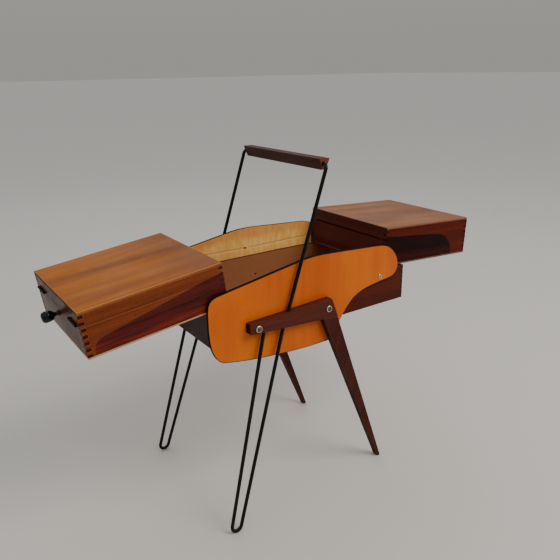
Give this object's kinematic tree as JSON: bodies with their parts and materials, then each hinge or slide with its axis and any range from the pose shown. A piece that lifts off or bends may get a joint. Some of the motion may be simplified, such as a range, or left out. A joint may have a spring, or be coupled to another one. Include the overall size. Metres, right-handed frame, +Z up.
{
  "type": "sewing box",
  "caption": "Standing sewing box: a fixed lower box between shaped side panels, lidded trays that slide out left and right, wooden and hairpin legs and a carrying grip.",
  "frame": {"origin": "on the floor, under the middle of the overall length and width with both trays pulled out", "axes": "+X runs along the box to the right-hand tray, +Y to the back, +Z up"},
  "size_m": [0.947, 0.338, 0.688],
  "materials": {
    "mahogany": "reddish brown mahogany, satin oil",
    "lid_wood": "sun-faded mahogany, satin oil",
    "dark_wood": "dark stained hardwood, satin",
    "amber_veneer": "amber lacquered veneer on plywood",
    "pale_board": "plain plywood",
    "black_steel": "black enamel",
    "black_gloss": "black gloss",
    "nickel": "worn nickel",
    "brass": "aged brass",
    "aged_brass": "darkened brass",
    "bare_steel": "bare steel"
  },
  "bodies": {
    "base": {"lower_box_front_wall": "mahogany", "lower_box_rear_wall": "mahogany", "lower_box_left_wall": "mahogany", "lower_box_right_wall": "mahogany", "lower_box_bottom": "pale_board", "front_panel": "amber_veneer", "rear_panel": "amber_veneer", "front_bar": "dark_wood", "rear_bar": "dark_wood", "front_leg": "dark_wood", "rear_leg": "dark_wood", "front_rod": "black_steel", "rear_rod": "black_steel", "grip": "dark_wood", "front_left_bolt": "nickel", "front_left_washer": "nickel", "front_right_bolt": "nickel", "front_right_washer": "nickel", "front_panel_screw": "brass", "rear_left_bolt": "nickel", "rear_left_washer": "nickel", "rear_right_bolt": "nickel", "rear_right_washer": "nickel", "rear_panel_screw": "brass"},
    "left_carriage": {"left_front_pin": "bare_steel", "left_rear_pin": "bare_steel"},
    "left_tray": {"left_tray_front_wall": "mahogany", "left_tray_rear_wall": "mahogany", "left_tray_inner_wall": "mahogany", "left_tray_outer_wall": "mahogany", "left_tray_bottom": "pale_board", "left_knob": "black_gloss", "left_front_hinge_wall_leaf": "aged_brass", "left_rear_hinge_wall_leaf": "aged_brass"},
    "left_lid": {"left_lid_front_rim": "mahogany", "left_lid_rear_rim": "mahogany", "left_lid_inner_rim": "mahogany", "left_lid_outer_rim": "mahogany", "left_lid_top": "lid_wood", "left_front_hinge_lid_leaf": "aged_brass", "left_rear_hinge_lid_leaf": "aged_brass"},
    "right_carriage": {"right_front_pin": "bare_steel", "right_rear_pin": "bare_steel"},
    "right_tray": {"right_tray_front_wall": "mahogany", "right_tray_rear_wall": "mahogany", "right_tray_inner_wall": "mahogany", "right_tray_outer_wall": "mahogany", "right_tray_bottom": "pale_board", "right_knob": "black_gloss", "right_front_hinge_wall_leaf": "aged_brass", "right_rear_hinge_wall_leaf": "aged_brass"},
    "right_lid": {"right_lid_front_rim": "mahogany", "right_lid_rear_rim": "mahogany", "right_lid_inner_rim": "mahogany", "right_lid_outer_rim": "mahogany", "right_lid_top": "lid_wood", "right_front_hinge_lid_leaf": "aged_brass", "right_rear_hinge_lid_leaf": "aged_brass"}
  },
  "joints": [
    {"name": "left_slide", "type": "slide", "parent": "base", "child": "left_carriage", "axis": [0.9998, 0, -0.0208], "range_m": [0, 0.19739]},
    {"name": "left_tilt", "type": "hinge", "parent": "left_carriage", "child": "left_tray", "pos_m": [-0.1932, 0, 0.46663], "axis": [0, 1, 0], "range_deg": [0, 6.97]},
    {"name": "left_lid_hinge", "type": "hinge", "parent": "left_tray", "child": "left_lid", "pos_m": [-0.44737, 0, 0.47486], "axis": [0, -1, 0], "range_deg": [0, 100]},
    {"name": "right_slide", "type": "slide", "parent": "base", "child": "right_carriage", "axis": [-1, 0, -0.0084], "range_m": [0, 0.17846]},
    {"name": "right_tilt", "type": "hinge", "parent": "right_carriage", "child": "right_tray", "pos_m": [0.1931, 0, 0.46403], "axis": [0, -1, 0], "range_deg": [0, 3.45]},
    {"name": "right_lid_hinge", "type": "hinge", "parent": "right_tray", "child": "right_lid", "pos_m": [0.44628, 0, 0.48785], "axis": [0, 1, 0], "range_deg": [0, 100]}
  ],
  "couplings": [
    {"joint": "left_tilt", "follows": "left_slide", "rad_per_m": 0.61451},
    {"joint": "right_tilt", "follows": "right_slide", "rad_per_m": 0.33546}
  ]
}
